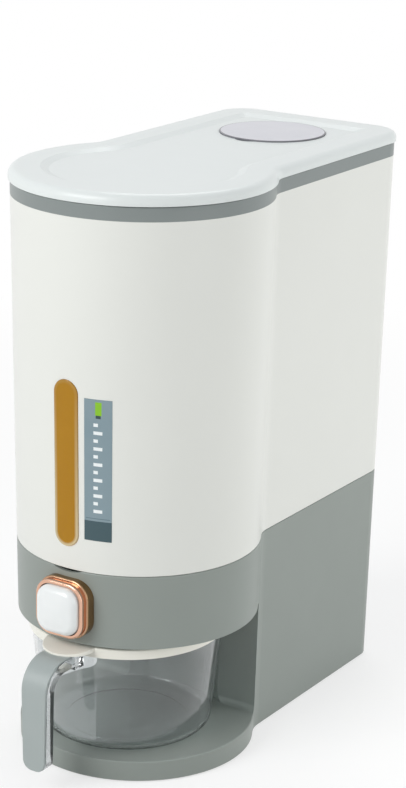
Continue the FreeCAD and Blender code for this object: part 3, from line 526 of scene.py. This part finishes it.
buttonForm = {"name": "buttonPillow", "body": "button", "node": "button_cap",
              "slot": "button_white", "sharpDegrees": 60, "corner": 10.5 * mm, "edge": 5.6 * mm,
              "proud": 2.2 * mm, "crownHigh": 1.4 * mm, "rings": 5, "segments": 8,
              "near": 0.01 * mm, "squareOn": 0.99}


# A block gets its four long edges rounded, then its front edges. The flat face that is left is
# stepped forward ring by ring into the crown. The front's edges are those that lie near its plane,
# and its faces those that look squareOn forward.
def makeButton(form):
    low, high = (Vector(corner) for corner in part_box(form["node"]))
    low.y += form["crownHigh"] - form["proud"]
    bm = bmesh.new()
    bmesh.ops.create_cube(bm, size=1.0)
    bmesh.ops.scale(bm, verts=bm.verts, vec=high - low)
    bmesh.ops.translate(bm, verts=bm.verts, vec=(high + low) / 2)
    longEdges = [e for e in bm.edges if abs(e.verts[0].co.y - e.verts[1].co.y) > form["edge"]]
    bmesh.ops.bevel(bm, geom=longEdges, offset=form["corner"], offset_type="OFFSET",
                    affect="EDGES", segments=form["segments"], profile=0.5, material=-1)
    frontEdges = [e for e in bm.edges
                  if all(v.co.y < low.y + form["near"] for v in e.verts)]
    bmesh.ops.bevel(bm, geom=frontEdges, offset=form["edge"], offset_type="OFFSET",
                    affect="EDGES", segments=form["segments"], profile=0.5, material=-1)
    frontFaces = [f for f in bm.faces if f.normal.y < -form["squareOn"]]
    face = max(frontFaces, key=lambda f: f.calc_area())
    middle = face.calc_center_median()
    steps = form["rings"] + 1
    size = 1.0
    for ring in range(1, steps):
        face = bmesh.ops.extrude_discrete_faces(bm, faces=[face])["faces"][0]
        nextSize = 1.0 - ring / steps
        rise = form["crownHigh"] * (size ** 2 - nextSize ** 2) / (1 - 1 / steps ** 2)
        bmesh.ops.scale(bm, verts=face.verts, vec=(nextSize / size, 1, nextSize / size),
                        space=Matrix.Translation(-middle))
        bmesh.ops.translate(bm, verts=face.verts, vec=(0, -rise, 0))
        size = nextSize
    return makePiece(bm, form, buttonAbs)


makeButton(buttonForm)
print("button made")


# Camera. Its line of sight passes the round front's axis at height above the casing's foot, and
# side to the right of it.

cameraSettings = {
    "azimuth": 32.68, "elevation": 17.4, "roll": 1.18,   # degrees
    "distance": 1.62811, "side": 0.04423, "height": 0.2622,   # metres
    "focalPixels": 2284.6, "longSidePixels": 788, "sensorMm": 36,
}


def placeCamera(s):
    az, roll = math.radians(s["azimuth"]), math.radians(s["roll"])
    back = wayTo(s["azimuth"], s["elevation"])
    right = Vector((math.cos(az), math.sin(az), 0))
    up = back.cross(right)
    turnedRight = right * math.cos(roll) + up * math.sin(roll)
    turnedUp = up * math.cos(roll) - right * math.sin(roll)
    data = bpy.data.cameras.new("camera")
    data.sensor_width = s["sensorMm"]
    data.lens = s["focalPixels"] / s["longSidePixels"] * s["sensorMm"]
    camera = bpy.data.objects.new("camera", data)
    bpy.context.collection.objects.link(camera)
    place = back * s["distance"] + right * s["side"]
    place += Vector((0, axisY, footStand + s["height"]))
    turn = Matrix((turnedRight, turnedUp, back)).transposed().to_4x4()
    camera.matrix_world = Matrix.Translation(place) @ turn
    bpy.context.scene.camera = camera


placeCamera(cameraSettings)
print("camera placed")


# Light, world and floor

# Four softboxes, each aimed at the middle of the object. The side one is kept out of reflections,
# so the lid doesn't glare when seen from the other side.
lampSettings = {
    "keyLamp": {"azimuth": -17, "elevation": 31, "distance": 2.2, "size": 1.2, "watts": 28.5,
                "mirrored": True},
    "rightLamp": {"azimuth": 80, "elevation": 10, "distance": 0.8, "size": 0.5, "watts": 0.6,
                  "mirrored": True},
    "sideLamp": {"azimuth": 121, "elevation": 12, "distance": 1.3, "size": 0.8, "watts": 5.8,
                 "mirrored": False},
    "topLamp": {"azimuth": 200, "elevation": 60, "distance": 2.4, "size": 1.3, "watts": 15,
                "mirrored": True},
}
lampAim = Vector((0, 0, 0.22))


def addLamp(name, s):
    way = wayTo(s["azimuth"], s["elevation"])
    data = bpy.data.lights.new(name, "AREA")
    data.shape = "SQUARE"
    data.size = s["size"]
    data.energy = s["watts"]
    lamp = bpy.data.objects.new(name, data)
    lamp.visible_glossy = s["mirrored"]
    bpy.context.collection.objects.link(lamp)
    lamp.matrix_world = Matrix.Translation(lampAim + way * s["distance"]) @ (
        way.to_track_quat("Z", "Y").to_matrix().to_4x4())


for name, settings in lampSettings.items():
    addLamp(name, settings)

worldSettings = {"seen": "#FFFFFF", "light": "#F2F5F7", "lightStrength": 0.4}


# What is seen directly, mirrored or through clear parts is plain white.
def addWorld(s):
    world = bpy.data.worlds.new("studio")
    bpy.context.scene.world = world
    world.use_nodes = True
    tree = world.node_tree
    tree.nodes.clear()
    seen = addNode(tree, "ShaderNodeBackground", {"Color": linearColour(s["seen"])})
    light = addNode(tree, "ShaderNodeBackground", {
        "Color": linearColour(s["light"]), "Strength": s["lightStrength"]})
    mixed = addNode(tree, "ShaderNodeMixShader", {
        0: addSeen(tree), 1: light.outputs[0], 2: seen.outputs[0]})
    output = addNode(tree, "ShaderNodeOutputWorld")
    tree.links.new(mixed.outputs[0], output.inputs["Surface"])


addWorld(worldSettings)

floorSettings = {"halfWide": 30.0, "under": 0.05 * mm, "seenDiffuse": "#A8A8A8",
                 "seenGlow": 0.62, "colour": "#E4E4E2", "fadeFrom": 0.35, "fadeTo": 1.2}


# A pale floor. Where it is seen it is white, with the object's soft shadow near the object.
def addFloor(s):
    bm = bmesh.new()
    bmesh.ops.create_grid(bm, x_segments=1, y_segments=1, size=s["halfWide"])
    bmesh.ops.translate(bm, verts=bm.verts, vec=(0, 0, -s["under"]))
    mesh = bpy.data.meshes.new("studioFloor")
    bm.to_mesh(mesh)
    bm.free()
    floor = bpy.data.objects.new("studioFloor", mesh)
    bpy.context.collection.objects.link(floor)
    material = bpy.data.materials.new("paintedFloor")
    material.use_nodes = True
    tree = material.node_tree
    tree.nodes.clear()
    plain = addNode(tree, "ShaderNodeBsdfDiffuse", {"Color": linearColour(s["colour"])})
    dim = addNode(tree, "ShaderNodeBsdfDiffuse", {"Color": linearColour(s["seenDiffuse"])})
    glow = addNode(tree, "ShaderNodeEmission", {"Strength": s["seenGlow"]})
    both = addNode(tree, "ShaderNodeAddShader", {0: dim.outputs[0], 1: glow.outputs[0]})
    place = addNode(tree, "ShaderNodeTexCoord").outputs["Object"]
    reach = addNode(tree, "ShaderNodeVectorMath", {0: place}, operation="LENGTH")
    far = addNode(tree, "ShaderNodeMapRange", {
        "Value": reach.outputs["Value"], "From Min": s["fadeFrom"], "From Max": s["fadeTo"]})
    white = addNode(tree, "ShaderNodeEmission")
    seen = addNode(tree, "ShaderNodeMixShader", {
        0: far.outputs["Result"], 1: both.outputs[0], 2: white.outputs[0]})
    mixed = addNode(tree, "ShaderNodeMixShader", {
        0: addSeen(tree), 1: plain.outputs[0], 2: seen.outputs[0]})
    output = addNode(tree, "ShaderNodeOutputMaterial")
    tree.links.new(mixed.outputs[0], output.inputs["Surface"])
    mesh.materials.append(material)


addFloor(floorSettings)
bpy.context.scene.view_settings.view_transform = "Standard"
print("stage set")
